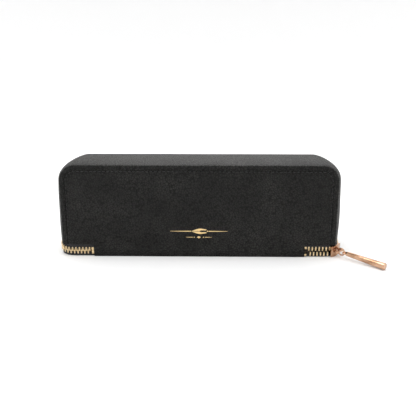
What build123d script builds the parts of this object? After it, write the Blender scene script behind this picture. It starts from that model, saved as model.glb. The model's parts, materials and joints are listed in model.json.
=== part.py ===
"""Zipped leather case for fountain pens: a deep lid over a shallow tray, hinged along the front.

Frame: X to the right, Y to the back, Z up. The origin is the middle of the tray's underside.
The front face looks along -Y. All sizes are in millimetres and all angles in degrees.
"""
import os
from math import asin, atan2, cos, degrees, radians, sin, sqrt

from build123d import *

# Overall shape
LENGTH = 202.0  # front panel, edge to edge
DEPTH = 50.0  # front face to back face
HEIGHT = 68.0  # desk to the crown of the top
CORNER_RADIUS = 12.0  # top corners of the front and back panels
SIDE_BOW = 5.0  # the side gusset stands out this much at mid depth
TOP_BOW = 1.0  # the top gusset rises this much at mid depth

# Sheet materials
LEATHER = 1.2
BOARD = 1.2
LINING = 0.6

# Parting line, which is where the zip runs
HINGE_INSET = 0.1  # the fold's axis behind the front face
ZIP_END = 23.0  # the fold stops this far short of each side, where a zip end shows
FOLD_RADIUS = 0.6  # rounded bead of leather along the fold
PARTING_TILT = 8.0  # the parting plane rises to the back
FLOOR_INSET = 4.0  # the tray's sides lean in to the floor by this much
TRAY_RISE = 17.0  # height at which the leaning sides would reach the zip's outside
TAPE_SHOWN = 0.35  # strip of tape between the lower teeth and the tray's leather
TAPE_GAP = 0.1  # between a cut leather edge and the zip tape under it
DESK_CLEARANCE = 0.1  # under the slider
CORNER_RELIEF = 0.4  # leather is cut back this far clear of the zip and its slider

# Zip
TOOTH_PITCH = 2.54  # along one row
TOOTH_WIDTH = 1.0
TOOTH_THICKNESS = 2.4
TOOTH_HEAD = 0.55  # a tooth crosses the middle of the chain by this much
TOOTH_REACH = 2.55  # and clamps the tape as far out as this
TOOTH_GRIP = 1.2  # the clamped part of a tooth
TAPE_THICKNESS = 0.7
TAPE_CLEARANCE = 0.05
ZIP_CORNER = 11.0  # the chain's bend at each corner of the case
ZIP_SIDE_RADIUS = 110.0  # the chain's bend along each side
ZIP_END_REACH = 20.0  # the flexible ends run this far back from the front
OPEN_SHIFT = 1.1  # each row stands off the middle where the zip is open
STOP_LENGTH = 1.6
STOP_WEB = 0.4  # the bridge that joins the two cheeks of a stop

# Slider and its pull
SLIDER_ARC = 24.0  # half the slider's length, as an angle round the corner
SLIDER_WALL = 1.3
SLIDER_FLANGE = 0.5
SLIDER_ANGLE = -45.0  # where the slider stands on the corner, from straight out to the side
SLIDER_TRAVEL = 45.0  # round the corner towards the side
CHANNEL_CLEARANCE = 0.3
HEIGHT_CLEARANCE = 0.15
DIAMOND_ARC = 9.0  # the wedge between the rows at the slider's nose
DIAMOND_CLEARANCE = 0.2
CROWN_STAND = 2.6  # bridge axis above the slider's face
CROWN_RADIUS = 0.6
CROWN_SPAN = 6.4
RING_RADIUS = 2.6
RING_WIRE = 0.55
RING_CLEARANCE = 0.3
BAR_LENGTH = 33.0  # from the ring's wire to the tip
BAR_ROOT_RADIUS = 1.7
BAR_TIP_RADIUS = 2.5
BAR_EYE_RADIUS = 1.8
BAR_EYE_THICKNESS = 1.8

# Stitched border of the two panels
BORDER_WIDTH = 3.6
GROOVE_WIDTH = 0.8
THREAD_THICKNESS = 0.5
THREAD_DEPTH = 0.3  # the thread lies this far under the leather's face

# Foil mark on the front
MARK_HEIGHT = 18.7  # middle of the mark above the desk
MARK_WIDTH = 42.0
MARK_THICKNESS = 0.12
RULE_WIDTH = 0.5
NIB_LENGTH = 11.0
NIB_WIDTH = 4.4

# Pen bed
PAD_MARGIN = 2.0  # free space between the pad and the lining of the lid
PAD_END_MARGIN = 8.0
PAD_HEIGHT = 4.0
PAD_EDGE = 1.5
LANE_RADIUS = 6.2  # inside of an elastic loop
LANE_PITCH = 13.3  # from one pen to the next
ELASTIC = 0.8
LOOP_WIDTH = 14.0
LOOP_SPACING = 90.0  # between the two bands of loops
LOOP_RISE = 5.0  # the round part of a loop starts this far above the pad

# What follows from them
FAR = 2 * LENGTH  # larger than the case in every direction
channel_half = TOOTH_THICKNESS / 2 + CHANNEL_CLEARANCE
channel_height = TOOTH_REACH + OPEN_SHIFT + HEIGHT_CLEARANCE
slider_half = channel_half + SLIDER_WALL
slider_height = channel_height + SLIDER_FLANGE
fold_end = LENGTH / 2 - ZIP_END
lid_edge = slider_height + CORNER_RELIEF  # the lid's leather stops this far above the parting plane
tray_edge = TOOTH_REACH + TAPE_SHOWN  # and the tray's this far below it
sheets = LEATHER + BOARD + LINING

# The parting plane's own frame: the fold is its X axis and it rises along its Y axis.
fold_y = HINGE_INSET - DEPTH / 2
fold_z = slider_height + DESK_CLEARANCE
PARTING = Pos(0, fold_y, fold_z) * Rot(PARTING_TILT, 0, 0)

parts = {}


def above(height):
    """All the space above a level of the parting plane."""
    return PARTING * Pos(0, 0, height + FAR / 2) * Box(FAR, FAR, FAR)


def below(height):
    """All the space below a level of the parting plane."""
    return PARTING * Pos(0, 0, height - FAR / 2) * Box(FAR, FAR, FAR)


def slab_y(one, other):
    """The space between two upright planes along the case."""
    return Pos(0, (one + other) / 2, 0) * Box(FAR, abs(other - one), FAR)


def slab_z(low, high):
    """The space between two levels."""
    return Pos(0, 0, (low + high) / 2) * Box(FAR, FAR, high - low)


# Lid: nested forms, each one sheet inside the last, are cut apart into the pieces of the lid.


def lid_section(inset, y):
    """The lid's upright outline at one depth, with rounded top corners."""
    bow = 1 - (2 * y / DEPTH) ** 2
    width = LENGTH + 2 * (SIDE_BOW * bow - inset)
    top = HEIGHT - TOP_BOW + TOP_BOW * bow - inset
    drop = 2 * CORNER_RADIUS
    outline = Pos(0, (top - drop) / 2) * RectangleRounded(width, top + drop, CORNER_RADIUS - inset)
    return Plane.XZ.offset(-y) * outline


def lid_form(inset):
    """The lid as a solid loaf, with its gusset bowed between the two panels."""
    return loft([lid_section(inset, y) for y in (-DEPTH / 2, 0, DEPTH / 2)])


def panel_prism(inset):
    """A prism through both panels with their outline set in from the edge."""
    top = HEIGHT - TOP_BOW - inset
    drop = 2 * CORNER_RADIUS
    radius = CORNER_RADIUS - inset
    outline = Pos(0, (top - drop) / 2) * RectangleRounded(LENGTH - 2 * inset, top + drop, radius)
    return extrude(Plane.XZ * outline, DEPTH, both=True)


skin, board_face, lining_face, cavity_face = (
    lid_form(inset) for inset in (0, LEATHER, LEATHER + BOARD, sheets)
)
lid_space = above(lid_edge)
leather_back = DEPTH / 2 - LEATHER
board_back = leather_back - BOARD
lining_back = board_back - LINING

parts["gusset"] = (skin - board_face) & slab_y(-leather_back, leather_back) & lid_space
parts["gusset_board"] = (board_face - lining_face) & slab_y(-board_back, board_back) & lid_space
parts["gusset_lining"] = (lining_face - cavity_face) & slab_y(-lining_back, lining_back) & lid_space

border_inside = panel_prism(BORDER_WIDTH)
field_outside = panel_prism(BORDER_WIDTH + GROOVE_WIDTH)
thread_face = DEPTH / 2 - THREAD_DEPTH
for name, side in (("front", -1), ("back", 1)):
    leather_sheet = slab_y(side * DEPTH / 2, side * leather_back) & lid_space
    board_sheet = slab_y(side * leather_back, side * board_back) & lid_space
    lining_sheet = slab_y(side * board_back, side * lining_back) & lid_space
    thread_sheet = slab_y(side * thread_face, side * (thread_face - THREAD_THICKNESS))
    parts[name + "_border"] = (skin & leather_sheet) - border_inside
    parts[name + "_panel"] = field_outside & leather_sheet
    parts[name + "_seam_thread"] = (border_inside - field_outside) & thread_sheet & lid_space
    parts[name + "_board"] = board_face & board_sheet
    parts[name + "_lining"] = lining_face & lining_sheet


# Plan of the zip: straight front and back, gently bowed sides and a round corner between them.

chain_front = TOOTH_THICKNESS / 2
chain_back = DEPTH / cos(radians(PARTING_TILT)) - 2 * HINGE_INSET - TOOTH_THICKNESS / 2
chain_side = LENGTH / 2 + SIDE_BOW - TOOTH_THICKNESS / 2
chain_middle = (chain_front + chain_back) / 2
corner_y = chain_front + ZIP_CORNER
side_x = chain_side - ZIP_SIDE_RADIUS
corner_x = side_x + sqrt((ZIP_SIDE_RADIUS - ZIP_CORNER) ** 2 - (chain_middle - corner_y) ** 2)
corner_end = degrees(atan2(corner_y - chain_middle, corner_x - side_x))


def around(centre, radius, angle):
    """The point at an angle on a circle."""
    return (
        centre[0] + radius * cos(radians(angle)),
        centre[1] + radius * sin(radians(angle)),
    )


def right_half(out):
    """The right half of the zip's plan, from the middle of the front to the middle of the back.

    out is how far the line stands outside the middle of the chain.
    """
    corner = (corner_x, corner_y)
    side = (side_x, chain_middle)
    bend = ZIP_CORNER + out
    start = (corner_x, chain_front - out)
    middle = around(corner, bend, (corner_end - 90) / 2)
    turn = around(corner, bend, corner_end)
    back_turn, back_middle, back_start = (
        (x, 2 * chain_middle - y) for x, y in (turn, middle, start)
    )
    return [
        Edge.make_line((0, start[1]), start),
        Edge.make_three_point_arc(start, middle, turn),
        Edge.make_three_point_arc(turn, around(side, ZIP_SIDE_RADIUS + out, 0), back_turn),
        Edge.make_three_point_arc(back_turn, back_middle, back_start),
        Edge.make_line(back_start, (0, back_start[1])),
    ]


def plan(out):
    """The closed plan of the zip as a face."""
    right = right_half(out)
    left = [edge.mirror(Plane.YZ) for edge in right]
    return make_face(right + left)


def tape_band(low, high):
    """Zip tape round the whole case between two heights over the parting plane."""
    half = TAPE_THICKNESS / 2
    band = extrude(plan(half) - plan(-half), high - low)
    return PARTING * Pos(0, 0, low) * band


def zone(x_low, x_high, y_low, y_high):
    """A stretch of the case seen square to the parting plane."""
    box = Box(x_high - x_low, y_high - y_low, FAR)
    return PARTING * Pos((x_low + x_high) / 2, (y_low + y_high) / 2, 0) * box


# Tray: the form leans in from the zip to the floor.


def scale_plan(face, inset):
    """A plan made shorter at both ends, and shallower at the back, by the same inset."""
    box = face.bounding_box()
    across = 1 - 2 * inset / box.size.X
    along = 1 - inset / box.size.Y
    front = Pos(0, box.min.Y, 0)
    return front * scale(front.inverse() * face, by=(across, along, 1))


def tray_form(inset):
    """The tray as a solid, down to the desk, set in by one or more sheets."""
    outline = plan(TOOTH_THICKNESS / 2 - inset)
    floor = Pos(0, fold_y, 0) * scale_plan(outline, FLOOR_INSET)
    rim = Pos(0, fold_y, TRAY_RISE) * outline
    return loft([floor, rim], ruled=True)


# Room that the zip and its slider take at the front corners.

CORNER_AXIS = PARTING * Pos(corner_x, corner_y, 0)
# The slider's own frame: X out of the wall, Y along the chain and Z up the wall.
SLIDER = CORNER_AXIS * Rot(0, 0, SLIDER_ANGLE) * Pos(ZIP_CORNER, 0, 0)


def turned_block(reach, half_height, first, last):
    """A block of the slider's section, turned about the corner from one angle to another."""
    section = Plane.XZ * Pos(ZIP_CORNER, 0) * Rectangle(2 * reach, 2 * half_height)
    block = revolve(section, Axis.Z, revolution_arc=last - first)
    return CORNER_AXIS * Rot(0, 0, first + SLIDER_ANGLE) * block


room_arc = SLIDER_ARC + degrees(CORNER_RELIEF / ZIP_CORNER)
slider_room = turned_block(
    slider_half + CORNER_RELIEF,
    slider_height + CORNER_RELIEF,
    -room_arc,
    SLIDER_TRAVEL + room_arc,
)
notch_inset = slider_half + CORNER_RELIEF
front_strip = zone(-FAR / 2, FAR / 2, -FAR / 2, corner_y)
front_corners = front_strip - zone(-fold_end, fold_end, -FAR / 2, FAR / 2)
inner_plan = PARTING * Pos(0, 0, -FAR / 4) * extrude(plan(-notch_inset), FAR / 2)
corner_room = (front_corners - inner_plan) + slider_room


tray_skin, tray_inside, tray_hollow = (
    tray_form(inset) for inset in (0, LEATHER, LEATHER + LINING)
)
floor_top = sheets
rim_space = below(-tray_edge) & zone(-FAR / 2, FAR / 2, corner_y, FAR / 2)
parts["tray_cover"] = (tray_skin & slab_z(0, LEATHER)) - corner_room
parts["tray_board"] = (tray_inside & slab_z(LEATHER, LEATHER + BOARD)) - corner_room
parts["tray_lining"] = (tray_inside & slab_z(LEATHER + BOARD, floor_top)) - corner_room
rim = (tray_skin - tray_inside) & slab_z(LEATHER, FAR / 4) & rim_space
parts["tray_rim"] = rim - slider_room
lining_rim = (tray_inside - tray_hollow) & slab_z(floor_top, FAR / 4) & rim_space
parts["rim_lining"] = lining_rim - slider_room

# Hinge: the front leather and a strip of lining run on over the fold.
fold_span = Box(2 * fold_end, FAR, FAR)
fold_bead = Pos(0, fold_y, fold_z) * Rot(0, 90, 0) * Cylinder(FOLD_RADIUS, 2 * fold_end)
fold_leather = slab_y(-DEPTH / 2, -leather_back) & slab_z(LEATHER, FAR / 4)
parts["hinge_leather"] = (fold_leather & below(lid_edge) & fold_span) + fold_bead
fold_lining = slab_y(-board_back, -lining_back) & slab_z(floor_top, FAR / 4)
parts["hinge_lining"] = fold_lining & below(lid_edge) & fold_span


# Zip tapes. The flexible ends are pieces of their own, from the fold to a little way up each side.

tape_root = TOOTH_REACH - TOOTH_GRIP
tape_edge = lid_edge - TAPE_GAP
tray_tape_edge = tray_edge - TAPE_GAP
end_x = fold_end + TAPE_GAP
ends = zone(end_x, FAR / 2, -FAR / 2, ZIP_END_REACH)
slider_x, slider_y = around((corner_x, corner_y), ZIP_CORNER, SLIDER_ANGLE)
nose_zone = ends & (SLIDER * Pos(0, -FAR / 2, 0) * Box(FAR, FAR, FAR))
left_ends = zone(-FAR / 2, -end_x, -FAR / 2, ZIP_END_REACH)
run_zone = zone(-FAR / 2, FAR / 2, ZIP_END_REACH, FAR / 2)
off_floor = slab_z(TAPE_GAP, FAR / 4)

upper_band = tape_band(tape_root, tape_edge)
lower_band = tape_band(-tray_tape_edge, -tape_root)
end_bands = {"upper": upper_band, "lower": (tape_band(-2 * fold_z, -tape_root) & off_floor) - rim}
open_space = {"upper": above(tape_root + OPEN_SHIFT), "lower": below(-tape_root - OPEN_SHIFT)}
parts["upper_tape"] = upper_band & run_zone
parts["lower_tape"] = lower_band & run_zone
for name, end_band in end_bands.items():
    parts[name + "_end_tape_left"] = end_band & left_ends
    parts[name + "_end_tape_right"] = (end_band & ends) - nose_zone
    parts[name + "_open_tape"] = end_band & nose_zone & open_space[name]


# Teeth, each clamped on the tape's edge, in two rows that mesh.


def tooth(side, shift):
    """One tooth of the upper row (side 1) or the lower row (side -1), over the chain's middle."""
    height = TOOTH_HEAD + TOOTH_REACH
    body = Box(TOOTH_WIDTH, TOOTH_THICKNESS, height)
    slot = Box(2 * TOOTH_WIDTH, TAPE_THICKNESS + 2 * TAPE_CLEARANCE, TOOTH_GRIP + TAPE_CLEARANCE)
    slot = Pos(0, 0, (height - TOOTH_GRIP - TAPE_CLEARANCE) / 2) * slot
    placed = Pos(0, 0, (TOOTH_REACH - TOOTH_HEAD) / 2) * (body - slot)
    turned = placed if side > 0 else Rot(180, 0, 0) * placed
    return Pos(0, 0, shift) * turned


chain_right = Wire(right_half(0))
first_tooth_x = end_x + TAPE_GAP + STOP_LENGTH + TOOTH_WIDTH
teeth = {}
for index in range(int(chain_right.length / TOOTH_PITCH * 2) + 1):
    distance = chain_right.length - index * TOOTH_PITCH / 2
    place = chain_right.position_at(distance, position_mode=PositionMode.LENGTH)
    if place.Y < chain_middle and place.X < first_tooth_x:
        break
    along = chain_right.tangent_at(distance, position_mode=PositionMode.LENGTH)
    turn = degrees(atan2(along.Y, along.X))
    side, row = ((1, "upper"), (-1, "lower"))[index % 2]
    in_slider_frame = (SLIDER.inverse() * PARTING * Pos(place.X, place.Y, 0)).position
    is_open = in_slider_frame.Y < 0 and place.Y < corner_y
    at_end = place.Y < ZIP_END_REACH
    right_name = "_open_teeth" if is_open else "_end_teeth_right" if at_end else "_teeth"
    shift = side * OPEN_SHIFT if is_open else 0
    right_tooth = Pos(place.X, place.Y, 0) * Rot(0, 0, turn) * tooth(side, shift)
    teeth.setdefault(row + right_name, []).append(PARTING * right_tooth)
    if index > 0:
        left_tooth = Pos(-place.X, place.Y, 0) * Rot(0, 0, -turn) * tooth(side, 0)
        left_name = "_end_teeth_left" if at_end else "_teeth"
        teeth.setdefault(row + left_name, []).append(PARTING * left_tooth)
for name, solids in teeth.items():
    parts[name] = Compound(children=solids)
# a tooth that reaches over the slider's middle takes its room from the tape beyond
for row in ("upper", "lower"):
    parts[row + "_end_tape_right"] -= parts[row + "_open_teeth"]

# Stops: one crimped on each open tape end at the right, and one box over both ends at the left.
grip_slot = Box(2 * STOP_LENGTH, TAPE_THICKNESS + 2 * TAPE_CLEARANCE, 2 * TOOTH_GRIP)
stop_x = end_x + TAPE_GAP + STOP_LENGTH / 2
slot_middle = TOOTH_REACH - TAPE_CLEARANCE
stop_height = TOOTH_GRIP + STOP_WEB
top_stop = Box(STOP_LENGTH, TOOTH_THICKNESS, stop_height)
top_stop = Pos(0, 0, TOOTH_REACH - stop_height / 2) * top_stop
top_stop -= Pos(0, 0, slot_middle) * grip_slot
bottom_stop = Box(STOP_LENGTH, TOOTH_THICKNESS, 2 * TOOTH_REACH)
for end in (1, -1):
    bottom_stop -= Pos(0, 0, end * slot_middle) * grip_slot
upper_stop = Pos(stop_x, chain_front, OPEN_SHIFT) * top_stop
lower_stop = Pos(stop_x, chain_front, -OPEN_SHIFT) * Rot(180, 0, 0) * top_stop
parts["upper_top_stop"] = PARTING * upper_stop
parts["lower_top_stop"] = PARTING * lower_stop
parts["bottom_stop"] = PARTING * Pos(-stop_x, chain_front, 0) * bottom_stop



# Slider: its channel is turned about the centre of the corner, so it follows the bent chain.

slider_block = turned_block(slider_half, slider_height, -SLIDER_ARC, SLIDER_ARC)
slider_block -= turned_block(channel_half, channel_height, -90, 90)
slider_block -= turned_block(TAPE_THICKNESS / 2 + CHANNEL_CLEARANCE, 2 * slider_height, -90, 90)
diamond_height = OPEN_SHIFT - TOOTH_HEAD - DIAMOND_CLEARANCE
diamond_out = slider_half - SLIDER_WALL / 2
diamond = turned_block(diamond_out, diamond_height, -SLIDER_ARC, DIAMOND_ARC - SLIDER_ARC)
parts["slider_body"] = slider_block + diamond

# Crown: a bridge over the slider's face that the ring hangs from.
bridge_out = slider_half + CROWN_STAND
post_length = CROWN_STAND + CROWN_RADIUS
post = Box(post_length, 2 * CROWN_RADIUS, 2 * CROWN_RADIUS)
crown = Pos(bridge_out, 0, 0) * Rot(90, 0, 0) * Cylinder(CROWN_RADIUS, CROWN_SPAN)
for end in (1, -1):
    crown += Pos(slider_half + post_length / 2, end * (CROWN_SPAN / 2 - CROWN_RADIUS), 0) * post
parts["slider_crown"] = (SLIDER * crown) - slider_block

# Pull: the bar's tip rests on the desk, which sets the droop of the ring and the bar.
bridge_point = (SLIDER * Pos(bridge_out, 0, 0)).position
ring_centre = RING_RADIUS - RING_WIRE - CROWN_RADIUS - RING_CLEARANCE
wire_out = ring_centre + RING_RADIUS
tip_out = wire_out + BAR_LENGTH
bar_slope = degrees(asin((bridge_point.Z - BAR_TIP_RADIUS) / tip_out))
wall_slope = degrees(asin(-sin(radians(SLIDER_ANGLE)) * sin(radians(PARTING_TILT))))
PULL = SLIDER * Pos(bridge_out, 0, 0) * Rot(0, bar_slope - wall_slope, 0)
ring = Pos(ring_centre, 0, 0) * Rot(90, 0, 0) * Torus(RING_RADIUS, RING_WIRE)
parts["pull_ring"] = PULL * ring

bar_start = wire_out + BAR_EYE_RADIUS / 2
bar = Rot(0, 90, 0) * Cone(BAR_ROOT_RADIUS, BAR_TIP_RADIUS, tip_out - bar_start)
bar = Pos((bar_start + tip_out) / 2, 0, 0) * bar
eye = Pos(wire_out, 0, 0) * Cylinder(BAR_EYE_RADIUS, BAR_EYE_THICKNESS)
bore = Cylinder(RING_WIRE + RING_CLEARANCE, 4 * BAR_TIP_RADIUS)
parts["pull_bar"] = PULL * (bar + eye - Pos(wire_out, 0, 0) * bore)


# Foil mark: a pen nib lying between two fine rules.

nib_half = NIB_WIDTH / 2
nib_outline = Polyline(
    (-NIB_LENGTH / 2, 0),
    (-NIB_LENGTH / 8, nib_half),
    (NIB_LENGTH / 3, nib_half),
    (NIB_LENGTH / 2, 0),
    (NIB_LENGTH / 3, -nib_half),
    (-NIB_LENGTH / 8, -nib_half),
    close=True,
)
slit = Pos(-NIB_LENGTH / 4, 0) * Rectangle(NIB_LENGTH / 2, RULE_WIDTH)
nib = make_face(nib_outline) - slit - Pos(RULE_WIDTH, 0) * Circle(NIB_WIDTH / 6)
rule_length = (MARK_WIDTH - NIB_LENGTH) / 2 - 2 * RULE_WIDTH
rule = Rectangle(rule_length, RULE_WIDTH)
rules = [Pos(end * (MARK_WIDTH - rule_length) / 2, 0) * rule for end in (1, -1)]
mark = [nib] + rules
mark_plane = Plane.XZ.offset(DEPTH / 2) * Pos(0, MARK_HEIGHT)
parts["foil_mark"] = Compound(
    children=[extrude(mark_plane * shape, MARK_THICKNESS) for shape in mark]
)


# Pen bed: a padded bed in the tray with two elastic bands, each sewn down into a loop per pen.

pad_length = LENGTH - 2 * (sheets + PAD_END_MARGIN)
pad_depth = DEPTH - 2 * (sheets + PAD_MARGIN)
pad_top = floor_top + PAD_HEIGHT
pad = Pos(0, 0, floor_top + PAD_HEIGHT / 2) * Box(pad_length, pad_depth, PAD_HEIGHT)
parts["pen_pad"] = fillet(pad.edges().filter_by(Axis.Z) + pad.edges().group_by(Axis.Z)[-1], PAD_EDGE)


def loop_outline(radius):
    """The side view of a band of loops, as a face standing on the pad."""
    count = int(pad_depth / LANE_PITCH)
    leg = Pos(0, LOOP_RISE / 2) * Rectangle(2 * radius, LOOP_RISE)
    arch = leg + Pos(0, LOOP_RISE) * Circle(radius)
    arches = [Pos((lane - (count - 1) / 2) * LANE_PITCH, 0) * arch for lane in range(count)]
    over_the_pad = Pos(0, FAR / 2) * Rectangle(FAR, FAR)
    return sum(arches[1:], arches[0]) & over_the_pad


band_outline = loop_outline(LANE_RADIUS + ELASTIC) - loop_outline(LANE_RADIUS)
band = extrude(Plane.YZ * band_outline, LOOP_WIDTH / 2, both=True)
for name, side in (("left", -1), ("right", 1)):
    parts["pen_loops_" + name] = Pos(side * LOOP_SPACING / 2, 0, pad_top) * band


os.makedirs("parts", exist_ok=True)
for name, shape in parts.items():
    export_step(shape, f"parts/{name}.step")

# The joints' axes, for whoever fits the case into an assembly
for name, place in (
    ("fold", PARTING),
    ("corner", CORNER_AXIS),
    ("bridge", PULL),
    ("ring wire", PULL * Pos(wire_out, 0, 0)),
):
    across, along, up = (
        (place * Pos(*step)).position - place.position for step in ((1, 0, 0), (0, 1, 0), (0, 0, 1))
    )
    print(name, *(f"({v.X:.5f}, {v.Y:.5f}, {v.Z:.5f})" for v in (place.position, across, along, up)))
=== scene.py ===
import json
import math

import bmesh
import bpy
from mathutils import Matrix, Vector


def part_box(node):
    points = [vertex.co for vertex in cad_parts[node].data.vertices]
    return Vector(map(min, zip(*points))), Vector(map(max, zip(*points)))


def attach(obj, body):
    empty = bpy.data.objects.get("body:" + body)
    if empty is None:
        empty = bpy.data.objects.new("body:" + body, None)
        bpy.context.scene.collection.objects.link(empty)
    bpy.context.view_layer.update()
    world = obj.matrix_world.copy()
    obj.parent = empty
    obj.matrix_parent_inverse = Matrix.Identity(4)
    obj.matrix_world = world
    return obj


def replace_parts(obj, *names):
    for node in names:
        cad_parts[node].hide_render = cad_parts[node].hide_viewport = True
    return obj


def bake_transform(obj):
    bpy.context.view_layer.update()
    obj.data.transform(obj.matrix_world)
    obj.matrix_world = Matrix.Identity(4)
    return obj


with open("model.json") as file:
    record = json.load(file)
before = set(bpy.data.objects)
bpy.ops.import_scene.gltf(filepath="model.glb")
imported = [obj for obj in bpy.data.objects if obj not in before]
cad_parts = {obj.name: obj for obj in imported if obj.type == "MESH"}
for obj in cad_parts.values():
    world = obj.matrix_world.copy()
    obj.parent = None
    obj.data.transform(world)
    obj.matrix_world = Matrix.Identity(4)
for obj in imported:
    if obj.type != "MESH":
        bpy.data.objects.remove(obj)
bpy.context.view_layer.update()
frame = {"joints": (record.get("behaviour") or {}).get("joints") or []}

mm = 0.001


# ---- Front leather: the front panel, the fold under it and the front of the tray are one hide.
# It is cut away at both lower corners for the ends of the zip, turned over a board at its edges,
# and pressed with a groove that the seam lies in.

joints = {joint["name"]: joint for joint in frame["joints"]}
hinge = Vector(joints["lid_hinge"]["pos_m"])
wall_up = Vector(joints["slider_travel"]["axis"])
tilt = math.atan2(-wall_up.y, wall_up.z)

LEATHER = 1.2 * mm
SEAM_IN = 4.6 * mm
PANEL_SWELL = 0.28 * mm
LID_FULLNESS = 1.8 * mm
BORDER_WIDTH = 4.4 * mm
CORNER_RADIUS = 12 * mm
BLANK_BOTTOM = -16 * mm          # the hide is cut long, to turn under the tray
UNDERSIDE_Y = -20.4 * mm
WRAP_RADIUS = 1.7 * mm
FOLD_BULGE, FOLD_ABOVE, FOLD_BELOW = 0.9 * mm, 2.0 * mm, 1.1 * mm
CREASE_DEPTH, CREASE_WIDTH, CREASE_RISE = 0.3 * mm, 0.8 * mm, 4.6 * mm
FOLD_TOP, FOLD_STEP = 11 * mm, 0.55 * mm
FIELD_STEP, FIELD_STEP_ACROSS = 5 * mm, 6 * mm

field_low, field_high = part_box("front_panel")
front_y = field_low.y
edge_x = field_high.x + BORDER_WIDTH
edge_top = field_high.z + BORDER_WIDTH + LID_FULLNESS
notch_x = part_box("hinge_leather")[1].x
lid_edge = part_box("front_border")[0].z


class Value:
    """A number that varies over a surface. Arithmetic on it adds Math nodes."""

    def __init__(self, tree, socket):
        self.tree = tree
        self.socket = socket

    def math(self, operation, *terms):
        return self.tree.node("Math", {"operation": operation}, dict(enumerate(terms)))

    def __add__(self, other):
        return self.math("ADD", self, other)

    def __sub__(self, other):
        return self.math("SUBTRACT", self, other)

    def __rsub__(self, other):
        return self.math("SUBTRACT", other, self)

    def __mul__(self, other):
        return self.math("MULTIPLY", self, other)

    def between(self, low, high):
        """0 below low, 1 above high and a smooth step from one to the other."""
        settings = {"interpolation_type": "SMOOTHSTEP"}
        limits = {"Value": self, "From Min": low, "From Max": high}
        return self.tree.node("MapRange", settings, limits)

    __radd__ = __add__
    __rmul__ = __mul__


class Shading:
    """The nodes of a material or of the world, and the one shader that they feed."""

    def __init__(self, owner, shader):
        owner.use_nodes = True
        self.tree = owner.node_tree
        self.shader = self.tree.nodes[shader]

    def node(self, kind, settings=None, sockets=None, output=0):
        """Adds a node: its settings first, then the values or links of its sockets."""
        node = self.tree.nodes.new("ShaderNode" + kind)
        for name, value in (settings or {}).items():
            setattr(node, name, value)
        for socket, value in (sockets or {}).items():
            if isinstance(value, Value):
                self.tree.links.new(value.socket, node.inputs[socket])
            else:
                node.inputs[socket].default_value = value
        return Value(self, node.outputs[output])

    def feed(self, socket, value):
        self.tree.links.new(value.socket, self.shader.inputs[socket])


class Finish(Shading):
    """A material whose Principled shader starts with constants and takes what varies as links."""

    def __init__(self, name, constants):
        self.material = bpy.data.materials.new(name)
        super().__init__(self.material, "Principled BSDF")
        self.place = self.node("TexCoord", output="Object")
        for socket, value in constants.items():
            self.shader.inputs[socket].default_value = value

    def colours(self, factor, low, high):
        """A colour between two others."""
        return self.node("Mix", {"data_type": "RGBA"}, {0: factor, 6: low, 7: high}, output=2)

    def bump(self, height, depth, strength=1.0):
        """A bump of a given depth in metres."""
        return self.node("Bump", None, {"Height": height, "Distance": depth, "Strength": strength})


def leather_finish(name, dark, light, grain):
    """Black hide with a rounded pebble grain, fine creases in it and a soft sheen."""
    finish = Finish(name, {"Specular IOR Level": 0.16})
    wander = finish.node("TexNoise", None, {"Vector": finish.place, "Scale": 260.0, "Detail": 2.0}, "Color")
    push = finish.node("VectorMath", {"operation": "SCALE"}, {0: wander, "Scale": 0.0011})
    place = finish.node("VectorMath", {"operation": "ADD"}, {0: finish.place, 1: push})
    cell = {"Vector": place, "Scale": grain, "Randomness": 1.0}
    valley = finish.node("TexVoronoi", {"feature": "DISTANCE_TO_EDGE"}, cell, "Distance")
    fine_cell = {"Vector": place, "Scale": grain * 2.3, "Smoothness": 0.6}
    grit = 1 - finish.node("TexVoronoi", {"feature": "SMOOTH_F1"}, fine_cell, "Distance")
    pebble = valley.between(0.0, 0.26) * 0.82 + grit * 0.18
    crease = finish.node("TexNoise", None, {"Vector": place, "Scale": 2600.0, "Detail": 4.0}, "Fac")
    patch = finish.node("TexNoise", None, {"Vector": finish.place, "Scale": 34.0, "Detail": 3.0}, "Fac")
    height = pebble * 0.9 + crease * 0.2 + patch * 0.3
    # Colour: painted shade in the grain's valleys and fine creases and a painted highlight on the pebble
    # tops, with patches of tone that vary at random.
    grain_shade_and_patches = (pebble * (patch.between(0.35, 0.75) * 0.5 + 0.5)) * (crease * 0.5 + 0.6)
    finish.feed("Base Color", finish.colours(grain_shade_and_patches, dark, light))
    finish.feed("Roughness", 0.56 - pebble * 0.12 + (crease - 0.5) * 0.2)
    finish.feed("Normal", finish.bump(height, 0.35 * mm, 1.0))
    return finish.material


black_hide = leather_finish(
    "black_hide", (0.0004, 0.0004, 0.0003, 1), (0.034, 0.0336, 0.0306, 1), 600.0,
)


def new_piece(name, mesh_builder, material, smooth_angle=40):
    """A piece at the origin from a finished bmesh."""
    mesh = bpy.data.meshes.new(name)
    mesh_builder.to_mesh(mesh)
    mesh_builder.free()
    piece = bpy.data.objects.new(name, mesh)
    bpy.context.scene.collection.objects.link(piece)
    mesh.materials.append(material)
    mesh.shade_smooth()
    mesh.set_sharp_from_angle(angle=math.radians(smooth_angle))
    return piece


def cut_lines(bm, positions, normal):
    """Adds edge lines across a mesh at several levels along an axis."""
    for position in positions:
        bmesh.ops.bisect_plane(
            bm, geom=bm.verts[:] + bm.edges[:] + bm.faces[:], dist=1e-7,
            plane_co=Vector(normal) * position, plane_no=Vector(normal),
        )


def steps(low, high, size):
    """Evenly spaced levels strictly between two ends."""
    count = max(1, round((high - low) / size))
    return [low + (high - low) * i / count for i in range(1, count)]


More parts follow.
